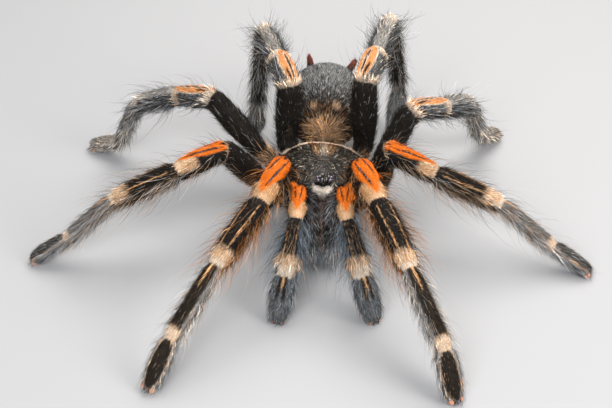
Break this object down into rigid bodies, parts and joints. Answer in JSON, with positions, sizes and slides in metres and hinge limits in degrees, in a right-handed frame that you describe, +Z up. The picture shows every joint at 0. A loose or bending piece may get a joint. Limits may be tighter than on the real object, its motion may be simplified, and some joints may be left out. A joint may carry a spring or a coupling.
{
  "type": "tarantula",
  "caption": "Life-size still tarantula with flame-orange knees, cream leg bands, a dark shield, raised spinnerets and long hairs, standing with its front legs and palps forward",
  "frame": {"origin": "on the floor under the middle of the model's bounding box", "axes": "+Z up, the spider faces -Y, its left side is +X"},
  "size_m": [0.11, 0.095, 0.0305],
  "materials": {
    "coat_black": "velvety short black-brown hairs",
    "coat_orange": "short orange hairs with dark streaks, cream bands and pale lines",
    "coat_brown": "long brown and grey hairs",
    "coat_grey": "grey-brown hairs with longer pale ones",
    "bare_skin": "soft red-brown skin with fine hairs",
    "eye": "glossy, near black",
    "fang": "glossy black horn"
  },
  "bodies": {
    "root": {"carapace": "coat_black", "sternum": "coat_black", "abdomen": "coat_grey", "pedicel": "bare_skin", "eye_front_middle_right": "eye", "eye_front_middle_left": "eye", "eye_front_side_right": "eye", "eye_front_side_left": "eye", "eye_rear_middle_right": "eye", "eye_rear_middle_left": "eye", "eye_rear_side_right": "eye", "eye_rear_side_left": "eye", "spinneret_right": "bare_skin", "fang_right": "fang", "chelicera_right": "coat_black", "leg_1_right_coxa": "coat_brown", "leg_1_right_femur": "coat_black", "leg_1_right_patella_tibia": "coat_orange", "leg_1_right_metatarsus_tarsus": "coat_black", "leg_2_right_coxa": "coat_brown", "leg_2_right_femur": "coat_black", "leg_2_right_patella_tibia": "coat_orange", "leg_2_right_metatarsus_tarsus": "coat_black", "leg_3_right_coxa": "coat_brown", "leg_3_right_femur": "coat_black", "leg_3_right_patella_tibia": "coat_orange", "leg_3_right_metatarsus_tarsus": "coat_black", "leg_4_right_coxa": "coat_brown", "leg_4_right_femur": "coat_black", "leg_4_right_patella_tibia": "coat_orange", "leg_4_right_metatarsus_tarsus": "coat_black", "palp_right_coxa": "coat_brown", "palp_right_femur": "coat_black", "palp_right_patella_tibia": "coat_orange", "palp_right_tarsus": "coat_black", "spinneret_left": "bare_skin", "fang_left": "fang", "chelicera_left": "coat_black", "leg_1_left_coxa": "coat_brown", "leg_1_left_femur": "coat_black", "leg_1_left_patella_tibia": "coat_orange", "leg_1_left_metatarsus_tarsus": "coat_black", "leg_2_left_coxa": "coat_brown", "leg_2_left_femur": "coat_black", "leg_2_left_patella_tibia": "coat_orange", "leg_2_left_metatarsus_tarsus": "coat_black", "leg_3_left_coxa": "coat_brown", "leg_3_left_femur": "coat_black", "leg_3_left_patella_tibia": "coat_orange", "leg_3_left_metatarsus_tarsus": "coat_black", "leg_4_left_coxa": "coat_brown", "leg_4_left_femur": "coat_black", "leg_4_left_patella_tibia": "coat_orange", "leg_4_left_metatarsus_tarsus": "coat_black", "palp_left_coxa": "coat_brown", "palp_left_femur": "coat_black", "palp_left_patella_tibia": "coat_orange", "palp_left_tarsus": "coat_black"}
  },
  "joints": []
}
